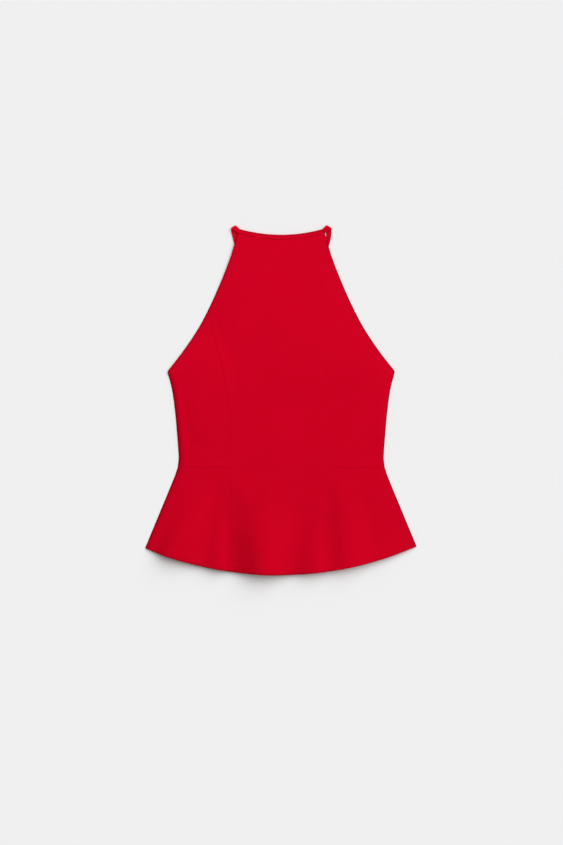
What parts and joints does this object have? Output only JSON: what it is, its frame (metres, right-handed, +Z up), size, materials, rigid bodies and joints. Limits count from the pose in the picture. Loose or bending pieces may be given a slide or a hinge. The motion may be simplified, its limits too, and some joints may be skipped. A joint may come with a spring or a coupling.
{
  "type": "peplum top",
  "caption": "Sleeveless halter-neck top with princess seams, a waist seam at the sides and a flared peplum, laid flat on its back.",
  "frame": {"origin": "on the surface that the top lies on, under the middle of its outline", "axes": "+Z up, out of the front; +Y towards the neck; +X to the right as the front is seen from above"},
  "size_m": [0.466, 0.6003, 0.0222],
  "materials": {
    "cloth": "matte doubled crepe knit"
  },
  "bodies": {
    "root": {"front_centre": "cloth", "front_side_left": "cloth", "front_side_right": "cloth", "front_peplum_left": "cloth", "front_peplum_right": "cloth", "neck_band": "cloth", "strap_left": "cloth", "strap_right": "cloth", "back_bodice": "cloth", "back_peplum": "cloth"}
  },
  "joints": []
}
